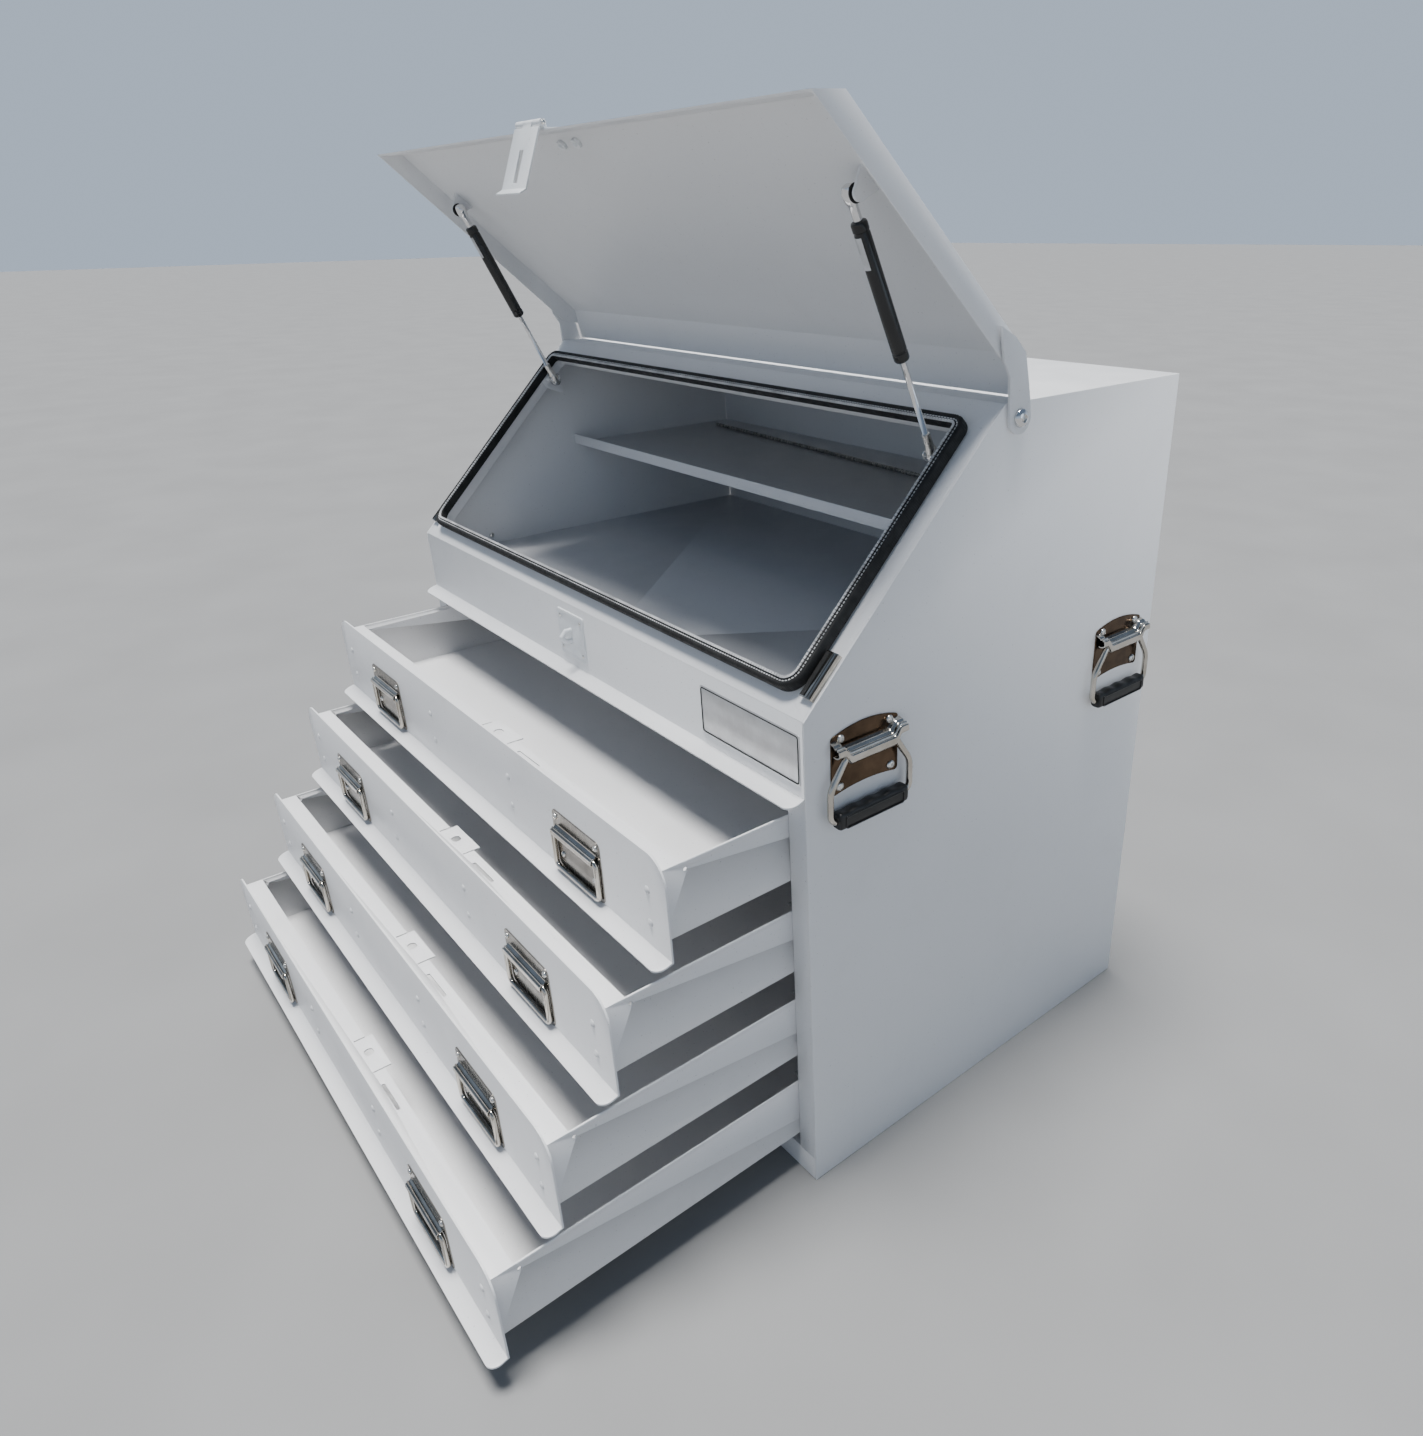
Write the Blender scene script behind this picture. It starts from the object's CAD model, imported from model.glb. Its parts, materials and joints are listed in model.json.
import json
import math

import bpy
from mathutils import Matrix, Vector


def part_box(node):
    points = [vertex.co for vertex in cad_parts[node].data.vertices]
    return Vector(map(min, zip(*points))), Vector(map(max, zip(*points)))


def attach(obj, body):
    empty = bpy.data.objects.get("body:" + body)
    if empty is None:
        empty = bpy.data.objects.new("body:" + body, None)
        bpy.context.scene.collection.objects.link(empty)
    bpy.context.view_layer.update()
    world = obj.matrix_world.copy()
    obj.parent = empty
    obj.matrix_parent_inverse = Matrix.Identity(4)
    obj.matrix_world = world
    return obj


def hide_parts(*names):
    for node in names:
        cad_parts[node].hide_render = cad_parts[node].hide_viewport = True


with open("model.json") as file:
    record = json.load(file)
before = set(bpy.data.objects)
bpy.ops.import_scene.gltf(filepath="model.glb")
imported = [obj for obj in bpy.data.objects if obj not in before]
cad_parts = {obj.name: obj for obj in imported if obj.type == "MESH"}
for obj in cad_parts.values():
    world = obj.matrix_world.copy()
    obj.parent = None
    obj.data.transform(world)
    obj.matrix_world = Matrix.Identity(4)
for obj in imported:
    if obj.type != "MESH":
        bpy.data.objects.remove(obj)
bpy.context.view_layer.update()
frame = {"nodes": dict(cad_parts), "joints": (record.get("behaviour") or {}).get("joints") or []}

MM = 0.001

# ---- Places taken from the frame -------------------------------------------------------

SIDE_LOW, SIDE_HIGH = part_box("side_panel_right")
FRONT_Y = SIDE_LOW.y
HALF_W = SIDE_HIGH.x
BODY_H = SIDE_HIGH.z
FASCIA_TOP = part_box("face_frame")[1].z
SLOPE_TOP_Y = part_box("top_panel")[0].y
SLOPE_DIR = Vector((0, SLOPE_TOP_Y - FRONT_Y, BODY_H - FASCIA_TOP))
SLOPE_LEN = SLOPE_DIR.length
SLOPE_DIR.normalize()
SLOPE_UP = Vector((0, -SLOPE_DIR.z, SLOPE_DIR.y))
JOINTS = {j["name"]: j for j in frame["joints"]}
SIDES = (("left", -1), ("right", 1))


def on_slope(x, s, h):
    """A point x across, s up the sloping opening from the fascia, and h out of it."""
    return Vector((x, FRONT_Y, FASCIA_TOP)) + SLOPE_DIR * s + SLOPE_UP * h


def axis_at(joint):
    """Where a joint's axis stands at rest."""
    return Vector(JOINTS[joint]["pos_m"])


# ---- Materials --------------------------------------------------------------------------


# Sockets of the mix node when it mixes colours
MIX_FACTOR, MIX_A, MIX_B, MIX_RESULT = 0, 6, 7, 2


class Shader:
    """A Principled material with short calls for the nodes that feed it."""

    def __init__(self, name, **values):
        self.mat = bpy.data.materials.new(name)
        self.mat.use_nodes = True
        self.tree = self.mat.node_tree
        self.bsdf = self.tree.nodes["Principled BSDF"]
        for key, value in values.items():
            self.bsdf.inputs[key.replace("_", " ")].default_value = value
        self.coords = self.tree.nodes.new("ShaderNodeTexCoord").outputs["Object"]

    def link(self, a, b):
        self.tree.links.new(a, b)

    def stretch(self, scale):
        """The coordinates, packed closer along the axes with the larger scale."""
        node = self.tree.nodes.new("ShaderNodeMapping")
        node.inputs["Scale"].default_value = scale
        self.link(self.coords, node.inputs["Vector"])
        return node.outputs["Vector"]

    def noise(self, scale, detail=3, rough=0.5, vector=None):
        node = self.tree.nodes.new("ShaderNodeTexNoise")
        node.inputs["Scale"].default_value = scale
        node.inputs["Detail"].default_value = detail
        node.inputs["Roughness"].default_value = rough
        self.link(vector or self.coords, node.inputs["Vector"])
        return node.outputs["Fac"]

    def ramp(self, value, stops):
        """Turns a value into a colour by (place, colour) stops."""
        node = self.tree.nodes.new("ShaderNodeValToRGB")
        ramp = node.color_ramp
        while len(ramp.elements) < len(stops):
            ramp.elements.new(0.5)
        for element, (place, colour) in zip(ramp.elements, stops):
            element.position = place
            element.color = (*colour, 1)
        self.link(value, node.inputs["Fac"])
        return node.outputs["Color"]

    def spread(self, value, low, high, from_low=0.3, from_high=0.7):
        """Stretches a value from the range a noise really fills to low and high."""
        node = self.tree.nodes.new("ShaderNodeMapRange")
        for key, number in (("From Min", from_low), ("From Max", from_high),
                            ("To Min", low), ("To Max", high)):
            node.inputs[key].default_value = number
        self.link(value, node.inputs["Value"])
        return node.outputs["Result"]

    def blend(self, factor, a, b):
        """Mixes two colours, each a socket or three numbers, by a factor socket."""
        node = self.tree.nodes.new("ShaderNodeMix")
        node.data_type = "RGBA"
        self.link(factor, node.inputs[MIX_FACTOR])
        for key, value in ((MIX_A, a), (MIX_B, b)):
            if hasattr(value, "is_linked"):
                self.link(value, node.inputs[key])
            else:
                node.inputs[key].default_value = (*value, 1)
        return node.outputs[MIX_RESULT]

    def bump(self, height, strength, distance, after=None):
        """Relief from a height socket, laid over an earlier bump if one is given."""
        node = self.tree.nodes.new("ShaderNodeBump")
        node.inputs["Strength"].default_value = strength
        node.inputs["Distance"].default_value = distance
        self.link(height, node.inputs["Height"])
        if after:
            self.link(after, node.inputs["Normal"])
        return node.outputs["Normal"]

    def colour(self, socket):
        self.link(socket, self.bsdf.inputs["Base Color"])

    def roughness(self, socket):
        self.link(socket, self.bsdf.inputs["Roughness"])

    def normal(self, socket):
        self.link(socket, self.bsdf.inputs["Normal"])


def grey(value, tint=(1, 1, 1)):
    return tuple(value * t for t in tint)


def powder_coat(name, value, tint, smudge):
    """Satin powder coat: orange peel, slow tone changes, faint handling smudges and dust."""
    s = Shader(name, Specular_IOR_Level=0.45)
    tone = s.ramp(s.noise(2.3, 2), [(0.3, grey(value * 0.96, tint)), (0.7, grey(value, tint))])
    # warm smudges from hands, then grey streaks that run down, then specks of dust
    dirt = s.spread(s.noise(11, 6, 0.65), 0, smudge, 0.55, 0.8)
    tone = s.blend(dirt, tone, grey(value * 0.62, (1, 0.97, 0.92)))
    streak = s.noise(1, 4, 0.6, s.stretch((60, 60, 5)))
    tone = s.blend(s.spread(streak, 0, smudge * 0.6, 0.6, 0.8), tone, grey(value * 0.7))
    speck = s.spread(s.noise(420, 1), 0, 0.35, 0.735, 0.76)
    s.colour(s.blend(speck, tone, grey(0.25)))
    s.roughness(s.spread(s.noise(24, 4), 0.33, 0.47))
    peel = s.bump(s.noise(520, 2), 0.22, 0.00022)
    s.normal(s.bump(s.noise(9, 1), 0.25, 0.0012, peel))
    return s.mat


def brushed(name, light, dark, low, high, grain=(900, 30, 30)):
    """Rolled and brushed metal with drawn grain and stained patches."""
    s = Shader(name, Metallic=1.0, Anisotropic=0.35)
    lines = s.noise(1, 5, 0.7, s.stretch(grain))
    patch = s.noise(38, 4, 0.6)
    tone = s.ramp(patch, [(0.32, dark), (0.62, light)])
    s.colour(s.blend(s.spread(lines, 0, 0.35), tone, grey(1.0, dark)))
    s.roughness(s.spread(lines, low, high))
    s.normal(s.bump(lines, 0.12, 0.0001))
    return s.mat


def rubber(name):
    s = Shader(name, Specular_IOR_Level=0.35)
    wave = s.tree.nodes.new("ShaderNodeTexWave")
    wave.bands_direction = "DIAGONAL"
    wave.inputs["Scale"].default_value = 190
    wave.inputs["Distortion"].default_value = 0.6
    s.link(s.coords, wave.inputs["Vector"])
    s.colour(s.ramp(s.noise(60, 4), [(0.3, grey(0.006)), (0.75, grey(0.022))]))
    s.roughness(s.spread(s.noise(150, 3), 0.5, 0.72))
    pores = s.bump(s.noise(1100, 2), 0.3, 0.0002)
    s.normal(s.bump(wave.outputs["Fac"], 0.35, 0.0005, pores))
    return s.mat


def moulded(name, value, rough, pores):
    s = Shader(name, Specular_IOR_Level=0.5)
    s.colour(s.ramp(s.noise(45, 3), [(0.3, grey(value * 0.7)), (0.7, grey(value * 1.3))]))
    s.roughness(s.spread(s.noise(90, 3), rough, rough + 0.12))
    s.normal(s.bump(s.noise(pores, 2), 0.25, 0.00015))
    return s.mat


def galvanised(name):
    s = Shader(name, Metallic=0.9)
    cells = s.tree.nodes.new("ShaderNodeTexVoronoi")
    cells.inputs["Scale"].default_value = 110
    s.link(s.coords, cells.inputs["Vector"])
    s.colour(s.ramp(cells.outputs["Color"], [(0.2, grey(0.42, (0.97, 0.99, 1))),
                                             (0.8, grey(0.6, (0.97, 0.99, 1)))]))
    s.roughness(s.spread(s.noise(70, 3), 0.38, 0.55))
    s.normal(s.bump(cells.outputs["Distance"], 0.1, 0.0002))
    return s.mat


WHITE = powder_coat("powder_white", 0.8, (0.985, 0.99, 1.0), 0.10)
WHITE_IN = powder_coat("powder_white_inside", 0.7, (0.96, 0.97, 1.0), 0.16)
DRAWER_WHITE = powder_coat("powder_white_drawers", 0.78, (0.99, 0.99, 1.0), 0.14)
HASP_WHITE = powder_coat("powder_white_hasp", 0.87, (0.96, 0.985, 1.0), 0.05)
STAINLESS = brushed("stainless", (0.66, 0.63, 0.58), (0.46, 0.42, 0.36), 0.08, 0.17)
PRESSING = brushed("stainless_plate", (0.125, 0.082, 0.052), (0.06, 0.04, 0.026), 0.12, 0.24)
PULL_PLATE = brushed("stainless_pull_plate", (0.36, 0.34, 0.31), (0.21, 0.19, 0.165), 0.16, 0.30)
ZINC = brushed("bright_zinc", (0.80, 0.79, 0.76), (0.62, 0.60, 0.56), 0.2, 0.34, (300, 300, 60))
CHROME = brushed("chromed_rod", (0.83, 0.83, 0.83), (0.7, 0.69, 0.68), 0.06, 0.13, (60, 60, 900))
RUNNER = galvanised("galvanised_channel")
RUBBER = rubber("seal_rubber")
GRIP = moulded("grip_plastic", 0.006, 0.34, 700)
STRUT_BLACK = moulded("strut_gloss_black", 0.01, 0.16, 400)
LABEL = moulded("blank_label", 0.62, 0.5, 900)
BADGE = brushed("badge_blank_metal", (0.66, 0.67, 0.68), (0.55, 0.55, 0.56), 0.28, 0.4)
DARK = moulded("dark_recess", 0.006, 0.6, 500)
STITCH = moulded("seal_core_metal", 0.6, 0.4, 900)

# ---- Finish on the CAD nodes ------------------------------------------------------------

NODE_FINISH = {
    "compartment_floor": WHITE_IN, "shelf_tray": WHITE, "drawer_runners": RUNNER,
    "guide_plates": STAINLESS, "badge_plate": BADGE, "cabinet_fasteners": ZINC,
    "hasp_pin": ZINC, "lock_rod": ZINC, "hasp_strap": HASP_WHITE, "hasp_base": HASP_WHITE,
    "staple": HASP_WHITE,
    "lid_seal": RUBBER, "side_handle_plates": PRESSING,
    "strut_rod_left": CHROME, "strut_rod_right": CHROME,
    "strut_cylinder_left": STRUT_BLACK, "strut_cylinder_right": STRUT_BLACK,
}


def node_finish(name):
    if name in NODE_FINISH:
        return NODE_FINISH[name]
    if name.startswith("carry_grip"):
        return GRIP
    if "bail" in name:
        return STAINLESS
    if name.endswith("pull_plates"):
        return PRESSING
    return DRAWER_WHITE if name.startswith("drawer_") else WHITE


WELD_REACH = 0.01 * MM
FOLD_ROUNDING = 0.8


def join_split_edges(obj):
    weld = obj.modifiers.new("weld", "WELD")
    weld.merge_threshold = WELD_REACH


def round_edges(obj, width, sharper_than):
    """Rounds the edges sharper than so many degrees, as a folded or rolled edge is."""
    bevel = obj.modifiers.new("bevel", "BEVEL")
    bevel.width = width
    bevel.segments = 2
    bevel.limit_method = "ANGLE"
    bevel.angle_limit = math.radians(sharper_than)
    bevel.harden_normals = True


# Rounding in millimetres, where it isn't that of a folded sheet
ROUNDED = {"hasp_strap": 0.35, "hasp_base": 0.3, "guide_plates": 0.4, "staple": 0.4,
           "badge_plate": 0.3, "hinge_arms": 0.7, "lid_strut_brackets": 0.4,
           "strut_wall_brackets": 0.4, "drawer_runners": 0.4}

for name, node in frame["nodes"].items():
    node.data.materials.clear()
    node.data.materials.append(node_finish(name))
    node.data.shade_smooth()
    sheet_metal = node_finish(name) in (WHITE, WHITE_IN, DRAWER_WHITE, HASP_WHITE)
    join_split_edges(node)
    if name in ROUNDED or (sheet_metal and not name.endswith("rivets")):
        round_edges(node, ROUNDED.get(name, FOLD_ROUNDING) * MM, 32)

# ---- Making pieces ----------------------------------------------------------------------


def add_object(name, data):
    obj = bpy.data.objects.new(name, data)
    bpy.context.scene.collection.objects.link(obj)
    return obj


def finish_piece(obj, material, body, replaces=()):
    """Gives a piece its material, body and slot, and names the CAD nodes it stands in for."""
    obj.data.materials.append(material)
    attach(obj, body)
    if replaces:
        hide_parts(*replaces)


def mesh_object(name, points, faces, smooth_angle=35):
    mesh = bpy.data.meshes.new(name)
    mesh.from_pydata([tuple(p) for p in points], [], faces)
    mesh.validate()
    mesh.update()
    obj = add_object(name, mesh)
    mesh.shade_smooth()
    mesh.set_sharp_from_angle(angle=math.radians(smooth_angle))
    return obj


def fillet(corners, radii, steps=5):
    """A closed outline with each corner rounded to its radius."""
    out = []
    count = len(corners)
    for i, (corner, radius) in enumerate(zip(corners, radii)):
        p = Vector(corner)
        a = (Vector(corners[i - 1]) - p).normalized()
        b = (Vector(corners[(i + 1) % count]) - p).normalized()
        if radius <= 0:
            out.append(p)
            continue
        half = a.angle(b) / 2
        centre = p + (a + b).normalized() * (radius / math.sin(half))
        start = p + a * (radius / math.tan(half)) - centre
        end = p + b * (radius / math.tan(half)) - centre
        turn = start.angle(end)
        for k in range(steps + 1):
            t = k / steps
            mix = (start * math.sin((1 - t) * turn) + end * math.sin(t * turn)) / math.sin(turn)
            out.append(centre + mix)
    return out


def prism(name, outline, place, depth, rounding=0.0):
    """A plate: an outline in (u, v), put in space by place(u, v, n), from n = 0 to depth."""
    count = len(outline)
    points = [place(p[0], p[1], n) for n in (0, depth) for p in outline]
    faces = [list(range(count))[::-1], list(range(count, 2 * count))]
    faces += [[i, (i + 1) % count, count + (i + 1) % count, count + i] for i in range(count)]
    obj = mesh_object(name, points, faces)
    if rounding:
        round_edges(obj, rounding, 40)
    return obj


def loft(name, rings, closed=False, smooth_angle=35):
    """Skins a list of rings that all have the same number of points, and caps an open run."""
    n = len(rings[0])
    points = [p for ring in rings for p in ring]
    faces = []
    count = len(rings)
    for i in range(count if closed else count - 1):
        j = (i + 1) % count
        for k in range(n):
            m = (k + 1) % n
            faces.append([i * n + k, i * n + m, j * n + m, j * n + k])
    if not closed:
        faces.append(list(range(n))[::-1])
        faces.append([(count - 1) * n + k for k in range(n)])
    return mesh_object(name, points, faces, smooth_angle)


# A profile that ends on the axis keeps this radius, so that its cap stays a true face
LATHE_TIP = 0.01 * MM


def lathe(name, profile, origin, axis, segments=32):
    """Turns a profile of (radius, distance along the axis) points about an axis."""
    axis = Vector(axis).normalized()
    side = axis.orthogonal().normalized()
    other = axis.cross(side)
    rings = []
    for r, t in profile:
        ring = []
        for k in range(segments):
            a = 2 * math.pi * k / segments
            ring.append(Vector(origin) + axis * t
                        + (side * math.cos(a) + other * math.sin(a)) * max(r, LATHE_TIP))
        rings.append(ring)
    return loft(name, rings)


def wire(name, points, radius, cyclic=False):
    """Round wire along points that are already close enough to follow its bends."""
    curve = bpy.data.curves.new(name, "CURVE")
    curve.dimensions = "3D"
    curve.bevel_depth = radius
    curve.bevel_resolution = 6
    curve.use_fill_caps = True
    spline = curve.splines.new("POLY")
    spline.points.add(len(points) - 1)
    for point, p in zip(spline.points, points):
        point.co = (*p, 1)
    spline.use_cyclic_u = cyclic
    return add_object(name, curve)


# ---- Seal round the sloping opening -------------------------------------------------------

SEAL_LOW = 18 * MM
SEAL_TOP_GAP = 28 * MM
SEAL_MID = 6 * MM
SEAL_LOW_BEND = 25 * MM
SEAL_TOP_BEND = 16 * MM
# Section of the bulb, as (outward, up) in millimetres from the middle of the seal
SEAL_PROFILE = [(5.4, 3), (5.9, 5.5), (5.9, 10.5), (5.2, 13.4), (3.6, 15.2), (1.6, 15.3), (0.4, 14.2),
                (-0.5, 13.5), (-1.4, 13.9), (-2.6, 14.9), (-4.4, 14.8), (-5.6, 13.4), (-6, 11),
                (-5.6, 7), (-5, 3)]
# Ribs: every second ring is pressed in at these points of the section
RIB_POINTS = (1, 2, 3, 4)
RIB_DEPTH = 0.7
RIB_STEP = 1.3 * MM
# Metal core showing as rows of dashes: name, inner and outer edge, low and high face, length
DASH_ROWS = (("seal_inner_stitches", -5.5, -2.9, 14.1, 15.5, 3.0),
             ("seal_outer_stitches", -1.3, -0.2, 13.0, 14.2, 2.4))
DASH_PITCH = 4.0 * MM
BOX_FACES = ((3, 2, 1, 0), (4, 5, 6, 7), (0, 1, 5, 4), (1, 2, 6, 5), (2, 3, 7, 6), (3, 0, 4, 7))


def seal_path(inset):
    """Closed line on the opening, so far inside the seal's outer edge."""
    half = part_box("lid_seal")[1].x - inset
    low = SEAL_LOW + inset
    high = SLOPE_LEN - SEAL_TOP_GAP - inset
    corners = [(-half, low), (half, low), (half, high), (-half, high)]
    radii = [SEAL_LOW_BEND - inset] * 2 + [SEAL_TOP_BEND - inset] * 2
    return fillet(corners, radii, 10)


def even_path(path, step):
    """The closed path again, as (point, outward normal) pairs at even steps."""
    runs = [(path[i], path[(i + 1) % len(path)]) for i in range(len(path))]
    total = sum((q - p).length for p, q in runs)
    count = 2 * round(total / step / 2)
    out, run, start = [], 0, 0.0
    for k in range(count):
        along = total * k / count
        while along - start > (runs[run][1] - runs[run][0]).length:
            start += (runs[run][1] - runs[run][0]).length
            run += 1
        p, q = runs[run]
        heading = (q - p).normalized()
        out.append((p + heading * (along - start), Vector((heading.y, -heading.x))))
    return out


def make_seal():
    path = seal_path(SEAL_MID)
    rings = []
    for k, (p, n) in enumerate(even_path(path, RIB_STEP)):
        ring = []
        for i, (a, h) in enumerate(SEAL_PROFILE):
            dent = RIB_DEPTH if i in RIB_POINTS and k % 2 else 0
            ring.append(on_slope(*(p + n * (a - dent) * MM), (h - dent * 0.4) * MM))
        rings.append(ring)
    seal = loft("seal_bulb", rings, closed=True, smooth_angle=75)
    finish_piece(seal, RUBBER, "cabinet", ["lid_seal"])
    for name, inner, outer, low, high, length in DASH_ROWS:
        points, faces = [], []
        for mid, normal in even_path(path, DASH_PITCH):
            along = Vector((-normal.y, normal.x)) * length * MM / 2
            base = len(points)
            for h in (low, high):
                for sign, reach in ((-1, inner), (1, inner), (1, outer), (-1, outer)):
                    flat = mid + along * sign + normal * reach * MM
                    points.append(on_slope(flat.x, flat.y, h * MM))
            faces += [[base + corner for corner in face] for face in BOX_FACES]
        dashes = mesh_object(name, points, faces)
        finish_piece(dashes, STITCH, "cabinet")


# ---- Folding handles ----------------------------------------------------------------------


def arched_outline(width, height, arch, foot, corner):
    """Plate outline with an arched top and a hollowed foot; v = 0 at its top, down negative."""
    steps = 16
    points, radii = [], []
    for k in range(steps + 1):
        t = 2 * k / steps - 1
        points.append((t * width / 2, -arch * t * t))
        radii.append(corner if k in (0, steps) else 0)
    for k in range(steps + 1):
        t = 1 - 2 * k / steps
        points.append((t * width / 2, -height + foot * (1 - t * t)))
        radii.append(corner if k in (0, steps) else 0)
    return fillet(points, radii, 4)


# Rolled strip round the bail, as (up, out) in millimetres from the bail's axis. Its upper edge
# starts on the plate at ROLL_FOOT.
ROLL_FOOT = 9.2
ROLL_WALL = 1.5
ROLL = [(8.0, -5.2), (7.2, -2.6), (5.7, -1.4), (5.2, 0.2), (6.4, 1.3), (6.5, 2.2), (5.5, 3.0),
        (4.1, 3.3), (3.7, 4.1), (4.2, 5.2), (3.4, 6.0), (1.2, 5.9), (-1.2, 6.6), (-3.4, 6.2),
        (-5.2, 4.6), (-6.4, 2.2), (-6.8, -0.4), (-6.0, -3.0)]


# Flare on a roll's ends: steps, share of its length in which it rises, rise in millimetres, and
# share by which the section flattens
FLARE_STEPS = 8
FLARE_RISING = 0.5
FLARE_LIFT = 9.5
FLARE_FLATTENING = 0.12


def roll_ring(place, u, axis_v, axis_n, scale, plate_n, lift, swell):
    """Section of the rolled strip at u, with its height scaled by swell and then lifted."""
    outer = [(ROLL_FOOT, (plate_n - axis_n) / scale / MM)] + ROLL
    inner = []
    for v, n in outer:
        shrink = 1 - ROLL_WALL / math.hypot(v, n)
        inner.append((v * shrink, n * shrink))
    section = outer + inner[::-1]
    return [place(u, axis_v + (v * scale * swell + lift) * MM, axis_n + n * scale * MM)
            for v, n in section]


def make_roll(name, place, half, axis_v, axis_n, scale, plate_n, flare, body):
    """The roll, and past it on each end a flare that lifts clear of the hanging bail's bends."""
    stations = [(u / 10 * half, 0.0) for u in range(-10, 11)]
    if flare:
        for k in range(1, FLARE_STEPS + 1):
            t = k / FLARE_STEPS
            rise = min(1.0, t / FLARE_RISING)
            ease = rise * rise * (3 - 2 * rise)
            reach = half + flare * t
            stations = [(-reach, ease)] + stations + [(reach, ease)]
    rings = [roll_ring(place, u, axis_v, axis_n, scale, plate_n, lift=FLARE_LIFT * ease,
                       swell=1 - FLARE_FLATTENING * ease) for u, ease in stations]
    roll = loft(name, rings, smooth_angle=40)
    finish_piece(roll, STAINLESS, body)


def rivet(name, place, u, v, n, radius, height, body):
    """Domed rivet with a rolled skirt and a sunk centre."""
    centre = place(u, v, n)
    out = (place(u, v, n + 1) - centre).normalized()
    profile = [(radius * 1.03, 0), (radius, height * 0.4), (radius * 0.86, height * 0.78),
               (radius * 0.6, height), (radius * 0.42, height * 0.98), (radius * 0.34, height * 0.55),
               (0, height * 0.5)]
    finish_piece(lathe(name, profile, centre, out, 20), ZINC, body)


def bail_path(place, corners, radii):
    return [place(p.x, p.y, 0) for p in fillet(corners, radii, 8)]


# Carrying handles. Places on a plate are (across, up) in millimetres from its top.
CARRY_THICK = 1.8 * MM
CARRY_OUT = 10 * MM
CARRY_RIVETS = ((-32.5, -10.8), (32.5, -10.8), (-35, -62.5), (35, -62.5))
CARRY_WIRE = 3.5 * MM
# The bail's corners, as (across, up, radius of the bend) in millimetres from its axis
CARRY_BAIL = ((-8, 0, 0), (-33, 0, 7), (-53.5, -31, 26), (-53.5, -66, 10),
              (53.5, -66, 10), (53.5, -31, 26), (33, 0, 7), (8, 0, 0))
CARRY_DROP = 66 * MM
GRIP_HALF = 46 * MM
GRIP_TOP = 10.3 * MM
GRIP_LOW = 8.6 * MM
GRIP_DEPTH = 7.4 * MM
GRIP_WAVE = 0.75 * MM
GRIP_SQUARENESS = 0.55
# Shares of the grip's half length at which its waves fade and its ends start to round
GRIP_WAVES_END = 0.88
GRIP_BAR_END = 0.94

# Drawer pulls, in the same terms
PULL_THICK = 1.4 * MM
PULL_RIVETS = ((-42, -8), (42, -8), (-33, -50), (33, -50))
PULL_ROLL_SCALE = 0.74
PULL_WIRE = 2.8 * MM


def box_corners(half, first_v, last_v):
    """Corners of a rectangle centred on u = 0, from its edge at first_v round to last_v."""
    return [(-half, first_v), (half, first_v), (half, last_v), (-half, last_v)]


def make_grip(name, place, body, replaced):
    """Moulded grip: a blocky bar with four finger waves on top and a raised frame on its face."""
    rings = []
    stations, around = 64, 32
    for i in range(stations + 1):
        u = -GRIP_HALF + 2 * GRIP_HALF * i / stations
        f = abs(u) / GRIP_HALF
        end = 1
        if f >= GRIP_BAR_END:
            past = (f - GRIP_BAR_END) / 0.06
            end = 0.86 + 0.14 * math.sqrt(max(0, 1 - past ** 2))
        wave = GRIP_WAVE * math.cos(u / GRIP_HALF * 4 * math.pi)
        top = GRIP_TOP + wave * (1 if f < GRIP_WAVES_END else 0.3)
        ring = []
        for k in range(around):
            a = 2 * math.pi * k / around
            c, sn = math.cos(a), math.sin(a)
            x = GRIP_DEPTH * end * math.copysign(abs(c) ** GRIP_SQUARENESS, c)
            y = (top if sn > 0 else GRIP_LOW) * end * math.copysign(abs(sn) ** GRIP_SQUARENESS, sn)
            ring.append(place(u, y - CARRY_DROP, x))
        rings.append(ring)
    grip = loft(name, rings, smooth_angle=50)
    finish_piece(grip, GRIP, body, [replaced])
    border = fillet(box_corners(39 * MM, -6.4 * MM, 6 * MM), [2 * MM] * 4, 4)
    raised = wire(f"{name}_border", [place(p.x, p.y - CARRY_DROP, GRIP_DEPTH) for p in border],
                  0.9 * MM, cyclic=True)
    finish_piece(raised, GRIP, body)


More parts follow.
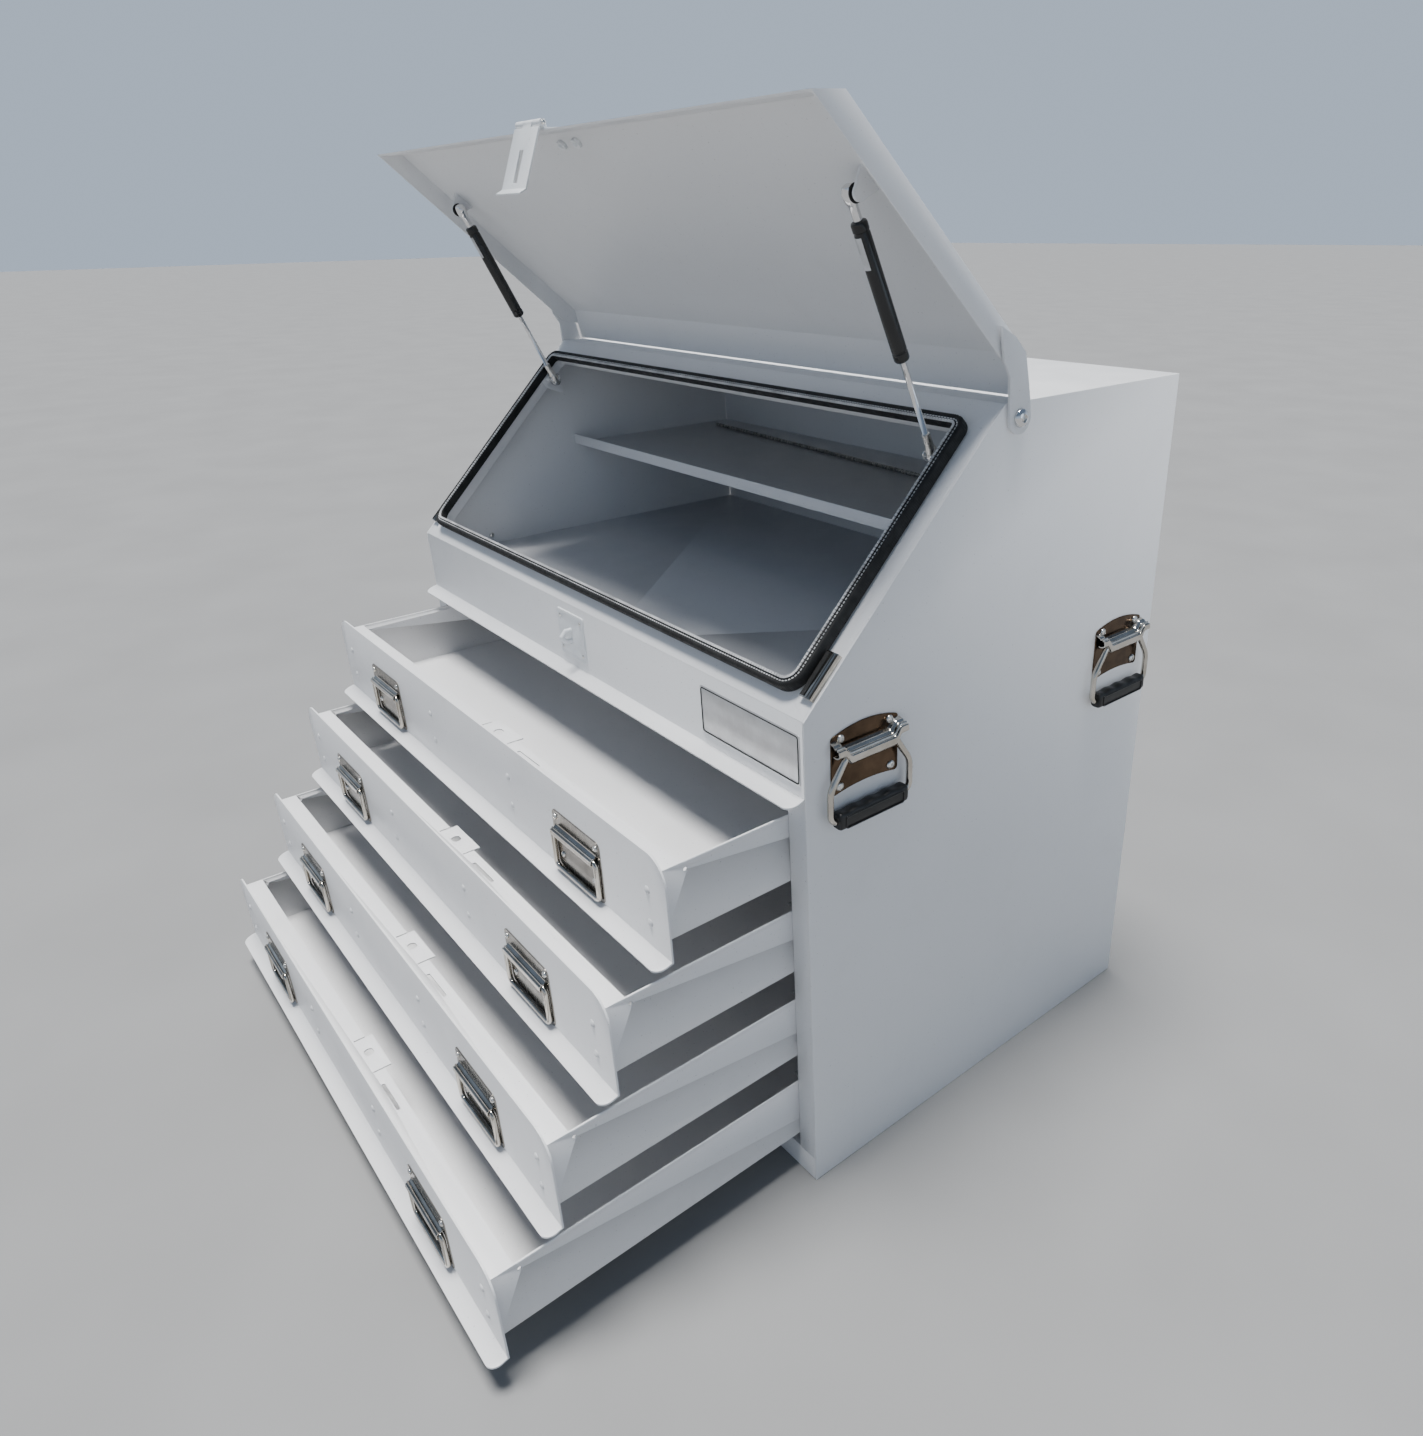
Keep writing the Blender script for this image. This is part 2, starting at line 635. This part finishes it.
def make_carry_handles():
    """Plate, roll, rivets, bail and grip of each of the four handles on the cabinet's sides."""
    first = True
    for side_name, side in SIDES:
        for end_name in ("front", "rear"):
            tag = f"{side_name}_{end_name}"
            body = f"carry_handle_{tag}"
            axis = axis_at(f"{body}_lift")
            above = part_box("side_handle_plates")[1].z - axis.z

            def on_plate(u, v, n, axis=axis, side=side, above=above):
                return Vector((side * (HALF_W + n), axis.y + side * u, axis.z + above + v))

            def on_axis(u, v, n, axis=axis, side=side):
                return Vector((axis.x + side * n, axis.y + side * u, axis.z + v))

            outline = arched_outline(width=89 * MM, height=72 * MM, arch=8 * MM, foot=5 * MM,
                                     corner=4 * MM)
            plate = prism(f"carry_{tag}_plate", outline, on_plate, CARRY_THICK, 0.6 * MM)
            finish_piece(plate, PRESSING, "cabinet",
                         ["side_handle_plates"] if first else ())
            first = False
            make_roll(f"carry_{tag}_roll", on_plate, half=29 * MM, axis_v=-above,
                      axis_n=CARRY_OUT, scale=1.0, plate_n=CARRY_THICK, flare=17 * MM,
                      body="cabinet")
            for k, (u, v) in enumerate(CARRY_RIVETS):
                rivet(f"carry_{tag}_rivet_{k}", on_plate, u * MM, v * MM, n=1.7 * MM,
                      radius=4.3 * MM, height=2.4 * MM, body="cabinet")
            corners = [(u * MM, v * MM) for u, v, _ in CARRY_BAIL]
            bends = [radius * MM for _, _, radius in CARRY_BAIL]
            bail = wire(f"carry_{tag}_wire", bail_path(on_axis, corners, bends), CARRY_WIRE)
            finish_piece(bail, STAINLESS, body, [f"carry_bail_{tag}"])
            make_grip(f"carry_{tag}_grip", on_axis, body, f"carry_grip_{tag}")


def make_pulls():
    """Plate, roll, rivets and bail of the two folding pulls on each drawer."""
    for k in range(1, 5):
        body = f"drawer_{k}"
        plates_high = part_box(f"drawer_{k}_pull_plates")[1]
        face = plates_high.y
        for side_name, _ in SIDES:
            tag = f"drawer_{k}_pull_{side_name}"
            axis = axis_at(f"{tag}_lift")
            above = plates_high.z - axis.z

            def on_plate(u, v, n, axis=axis, face=face, above=above):
                return Vector((axis.x + u, face - n, axis.z + above + v))

            def on_axis(u, v, n, axis=axis):
                return Vector((axis.x + u, axis.y - n, axis.z + v))

            outline = fillet(box_corners(49 * MM, 0, -72 * MM), [7 * MM] * 4, 5)
            plate = prism(f"{tag}_plate", outline, on_plate, PULL_THICK, 0.5 * MM)
            finish_piece(plate, PULL_PLATE, body,
                         [f"drawer_{k}_pull_plates"] if side_name == "left" else ())
            make_roll(f"{tag}_roll", on_plate, half=42 * MM, axis_v=-above,
                      axis_n=face - axis.y, scale=PULL_ROLL_SCALE, plate_n=PULL_THICK, flare=0,
                      body=body)
            for r, (u, v) in enumerate(PULL_RIVETS):
                rivet(f"{tag}_rivet_{r}", on_plate, u * MM, v * MM, n=1.3 * MM,
                      radius=3.3 * MM, height=1.9 * MM, body=body)
            ring = bail_path(on_axis, box_corners(45 * MM, 0, -44 * MM), [6 * MM] * 4)
            bail = wire(f"{tag}_wire", ring, PULL_WIRE, cyclic=True)
            finish_piece(bail, STAINLESS, tag, [f"drawer_{k}_bail_{side_name}"])


# ---- Gas struts -----------------------------------------------------------------------------


# How far the lid ball's centre lies under the top of the cylinder's CAD solid
STRUT_EYE = 6.5 * MM
STRUT_TUBE = 7.5 * MM


def strut_line(side_name):
    """A strut's wall ball, its direction, and how far along it the lid ball is."""
    foot = axis_at(f"strut_{side_name}_swing")
    along = Vector(JOINTS[f"strut_{side_name}_extend"]["axis"]).normalized()
    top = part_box(f"strut_cylinder_{side_name}")[1].z
    return foot, along, (top - STRUT_EYE - foot.z) / along.z


def make_label(name, origin, along, facing, radius, start, end, sweep, body):
    """A blank sticker wrapped part of the way round a tube."""
    across = (Vector(facing) - along * Vector(facing).dot(along)).normalized()
    third = along.cross(across)
    points, faces = [], []
    steps = 18
    for t in (start, end):
        for r in (radius - 0.1 * MM, radius + 0.18 * MM):
            for k in range(steps + 1):
                a = math.radians(sweep) * (k / steps - 0.5)
                points.append(origin + along * t + (across * math.cos(a) + third * math.sin(a)) * r)
    n = steps + 1
    for k in range(steps):
        faces.append([n + k, n + k + 1, 3 * n + k + 1, 3 * n + k])
        faces.append([k + 1, k, 2 * n + k, 2 * n + k + 1])
        faces.append([k, k + 1, n + k + 1, n + k])
        faces.append([2 * n + k + 1, 2 * n + k, 3 * n + k, 3 * n + k + 1])
    faces.append([0, n, 3 * n, 2 * n])
    faces.append([n + steps, steps, 2 * n + steps, 3 * n + steps])
    label = mesh_object(name, points, faces)
    finish_piece(label, LABEL, body)


def make_struts():
    """Tube, sockets, ball stud, blank sticker and spring clip of each gas strut."""
    for side_name, side in SIDES:
        foot, along, length = strut_line(side_name)
        body = f"strut_cylinder_{side_name}"
        start = length - 155 * MM
        profile = [(3.2, 0), (5.2, 0), (6.6, 0.8), (7.6, 2.6), (7.6, 9), (6.9, 9.6), (6.9, 10.4),
                   (7.5, 11), (7.5, 121), (7.0, 121.8), (7.0, 122.6), (7.7, 123.4), (7.7, 129.5),
                   (7.0, 131), (5, 132), (0, 132)]
        shell = lathe(f"strut_{side_name}_tube", [(r * MM, start + t * MM) for r, t in profile],
                      foot, along, 40)
        finish_piece(shell, STRUT_BLACK, body, [f"strut_cylinder_{side_name}"])
        shank = [(0, 130), (4.2, 130), (4.2, 144.5), (4.7, 145.5), (5.6, 147), (6.5, 150),
                 (6.8, 154), (6.5, 158), (5.2, 161), (3.0, 162.2), (0, 162.4)]
        socket = lathe(f"strut_{side_name}_lid_socket", [(r * MM, start + t * MM) for r, t in shank],
                       foot, along, 32)
        finish_piece(socket, CHROME, body)
        stud = lathe(f"strut_{side_name}_ball_stud",
                     [(0, -8 * MM), (2.6 * MM, -7.6 * MM), (4.6 * MM, -5.8 * MM),
                      (5.2 * MM, -3 * MM), (5.2 * MM, 4 * MM), (3.4 * MM, 5 * MM),
                      (3.4 * MM, 9.6 * MM), (0, 10.2 * MM)],
                     foot + along * length, (side, 0, 0), 24)
        finish_piece(stud, CHROME, body)
        make_label(f"strut_{side_name}_label", foot, along, facing=(-0.75, -0.65, 0),
                   radius=STRUT_TUBE, start=start + 91 * MM, end=start + 119.5 * MM, sweep=170,
                   body=body)
        rod_end = [(2.9, 27), (4.3, 26), (4.5, 13), (5.4, 10), (6.4, 5), (6.7, 0), (6.3, -4.2),
                   (4.6, -6.4), (0, -6.9)]
        end = lathe(f"strut_{side_name}_foot_socket", [(r * MM, t * MM) for r, t in rod_end],
                    foot, along, 28)
        finish_piece(end, ZINC, f"strut_rod_{side_name}")
        clip = fillet(box_corners(7.4 * MM, -4 * MM, 4 * MM), [3 * MM] * 4, 5)
        across = along.cross(Vector((1, 0, 0))).normalized()
        loop = wire(f"strut_{side_name}_clip", [
            foot + Vector((-side * 4.5 * MM, 0, 0)) + across * p.x + along * (p.y + 4 * MM)
            for p in clip], 0.8 * MM, cyclic=True)
        finish_piece(loop, CHROME, f"strut_rod_{side_name}")


# ---- Hems, caps and other small parts ----------------------------------------------------------

HEM_RADIUS = 1.15 * MM
HEM_INSET = 0.8 * MM
HEM_FRONT_GAP = 27 * MM
RIM_INSET = 2.2 * MM


def make_drawer_hems():
    """Rolled top edges on each drawer's sides and back."""
    for k in range(1, 5):
        low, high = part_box(f"drawer_{k}_box")
        y_front, y_back = low.y + HEM_FRONT_GAP, high.y - HEM_INSET
        z = high.z - HEM_RADIUS
        path = [(low.x + HEM_INSET, y_front, z), (low.x + HEM_INSET, y_back, z),
                (high.x - HEM_INSET, y_back, z), (high.x - HEM_INSET, y_front, z)]
        hem = wire(f"drawer_{k}_hem", [Vector(p) for p in path], HEM_RADIUS)
        finish_piece(hem, DRAWER_WHITE, f"drawer_{k}")


def make_badge_rim():
    """Plain raised border on the blank badge."""
    low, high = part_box("badge_plate")
    corners = [(low.x + RIM_INSET, low.z + RIM_INSET), (high.x - RIM_INSET, low.z + RIM_INSET),
               (high.x - RIM_INSET, high.z - RIM_INSET), (low.x + RIM_INSET, high.z - RIM_INSET)]
    path = fillet(corners, [3 * MM] * 4, 5)
    rim = wire("badge_border", [Vector((p.x, low.y, p.y)) for p in path], 0.7 * MM, cyclic=True)
    finish_piece(rim, DARK, "cabinet")


def make_hinge_caps():
    """Domed heads with a socket recess on the hinge bolts."""
    hinge = axis_at("lid_hinge")
    for side_name, side in SIDES:
        head = lathe(f"hinge_bolt_{side_name}_cap",
                     [(9.4 * MM, 0), (9.4 * MM, 1.2 * MM), (8.4 * MM, 3.2 * MM), (6.2 * MM, 4.8 * MM),
                      (4.3 * MM, 5.4 * MM), (3.9 * MM, 5.2 * MM), (3.4 * MM, 3.2 * MM), (0, 3 * MM)],
                     (side * (HALF_W + 5.3 * MM), hinge.y, hinge.z), (side, 0, 0), 32)
        finish_piece(head, CHROME, "cabinet")


def make_strut_washers():
    """Ring washers where the struts' ball studs pass through the lid brackets."""
    for side_name, side in SIDES:
        foot, along, length = strut_line(side_name)
        ball = foot + along * length
        ring = lathe(f"strut_{side_name}_washer",
                     [(3.6 * MM, 0), (7.6 * MM, 0), (8.2 * MM, 0.5 * MM), (8.2 * MM, 1.1 * MM),
                      (7.4 * MM, 1.7 * MM), (3.6 * MM, 1.7 * MM)],
                     ball + Vector((side * 7.2 * MM, 0, 0)), (side, 0, 0), 28)
        finish_piece(ring, DARK, "lid")


# Strips along a lid guide: name, distance in from its outer edge, width and height, all in
# millimetres, and material
GUIDE_STRIPS = (("pad", 12.5, 5.0, 0.9, RUBBER), ("groove", 5.6, 0.7, 0.35, DARK),
                ("edge", 1.4, 1.5, 0.8, DARK))
GUIDE_FACE = 6.4 * MM


def make_guide_strips():
    """Wear strip, pressed groove and dark edge along each lid guide."""
    outer_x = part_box("guide_plates")[1].x
    for side_name, side in SIDES:
        for tag, reach, width, height, material in GUIDE_STRIPS:
            middle = side * outer_x - side * reach * MM

            def on_guide(u, v, n, middle=middle, side=side):
                return on_slope(middle + side * u * MM, v * MM, GUIDE_FACE + n)

            outline = fillet(box_corners(width / 2, 22.5, 70.5), [0.3] * 4, 2)
            strip = prism(f"guide_{side_name}_{tag}", outline, on_guide, height * MM)
            finish_piece(strip, material, "cabinet")


# ---- Studio -------------------------------------------------------------------------------------

CAMERA_AT = Vector((1.1244, FRONT_Y - 0.5411, 1.0093))
CAMERA_YAW, CAMERA_PITCH, CAMERA_ROLL = 0.8611, 0.4314, -0.0149
SENSOR = 36.0
FOCAL = 26.09
CAMERA_SHIFT = (-0.0856, -0.0119)

FLOOR_REACH = 40
FLOOR_TONES = [(0.3, grey(0.235)), (0.7, grey(0.26))]
# Light from all round: pale just above the horizon, dimmer and bluer overhead
WORLD_TONES = ((0.2, (0.46, 0.55, 0.68)), (0.5, (0.14, 0.19, 0.27)))
KEY_FROM = Vector((-0.06, -0.04, 1))
KEY_POWER = 6.6
KEY_SPREAD = math.radians(22)
KEY_COLOUR = (1, 0.99, 0.97)
WINDOW_AT = Vector((4.4, 1.2, 1.7))
WINDOW_TARGET = Vector((0.2, 0.1, 0.5))
WINDOW_SIZE = (2.4, 2.2)
WINDOW_POWER = 14
WINDOW_COLOUR = (0.74, 0.87, 1)


def make_camera():
    cam = add_object("camera", bpy.data.cameras.new("camera"))
    cp, sp = math.cos(CAMERA_PITCH), math.sin(CAMERA_PITCH)
    forward = Vector((-math.sin(CAMERA_YAW) * cp, math.cos(CAMERA_YAW) * cp, -sp))
    right = Vector((math.cos(CAMERA_YAW), math.sin(CAMERA_YAW), 0))
    up = right.cross(forward)
    cr, sr = math.cos(CAMERA_ROLL), math.sin(CAMERA_ROLL)
    across = right * cr + up * sr
    upward = up * cr - right * sr
    turn = Matrix((across, upward, -forward)).transposed()
    cam.matrix_world = Matrix.Translation(CAMERA_AT) @ turn.to_4x4()
    cam.data.sensor_width = SENSOR
    cam.data.lens = FOCAL
    cam.data.shift_x, cam.data.shift_y = CAMERA_SHIFT
    cam.data.clip_start = 0.02
    bpy.context.scene.camera = cam


def make_floor():
    s = Shader("studio_floor", Roughness=0.75)
    s.colour(s.ramp(s.noise(3, 3), FLOOR_TONES))
    mesh = bpy.data.meshes.new("studio_floor")
    corners = [(-FLOOR_REACH, -FLOOR_REACH, 0), (FLOOR_REACH, -FLOOR_REACH, 0),
               (FLOOR_REACH, FLOOR_REACH, 0), (-FLOOR_REACH, FLOOR_REACH, 0)]
    mesh.from_pydata(corners, [], [(0, 1, 2, 3)])
    floor = add_object("studio_floor", mesh)
    mesh.materials.append(s.mat)


def make_world():
    world = bpy.data.worlds.new("studio_world")
    bpy.context.scene.world = world
    world.use_nodes = True
    tree = world.node_tree
    coords = tree.nodes.new("ShaderNodeTexCoord")
    split = tree.nodes.new("ShaderNodeSeparateXYZ")
    ramp = tree.nodes.new("ShaderNodeValToRGB")
    for element, (place, colour) in zip(ramp.color_ramp.elements, WORLD_TONES):
        element.position = place
        element.color = (*colour, 1)
    tree.links.new(coords.outputs["Generated"], split.inputs[0])
    tree.links.new(split.outputs["Z"], ramp.inputs[0])
    tree.links.new(ramp.outputs[0], tree.nodes["Background"].inputs["Color"])


def make_lights():
    """A broad key from overhead, and a cool window on the right."""
    sun = bpy.data.lights.new("key_overhead", "SUN")
    sun.energy = KEY_POWER
    sun.angle = KEY_SPREAD
    sun.color = KEY_COLOUR
    key = add_object("key_overhead", sun)
    key.rotation_euler = KEY_FROM.to_track_quat("Z", "Y").to_euler()
    light = bpy.data.lights.new("side_window", "AREA")
    light.shape = "RECTANGLE"
    light.size, light.size_y = WINDOW_SIZE
    light.energy = WINDOW_POWER
    light.color = WINDOW_COLOUR
    window = add_object("side_window", light)
    window.location = WINDOW_AT
    window.rotation_euler = (WINDOW_TARGET - WINDOW_AT).to_track_quat("-Z", "Y").to_euler()


make_camera()
make_floor()
make_world()
make_lights()
make_seal()
make_carry_handles()
make_pulls()
make_struts()
make_drawer_hems()
make_badge_rim()
make_hinge_caps()
make_strut_washers()
make_guide_strips()
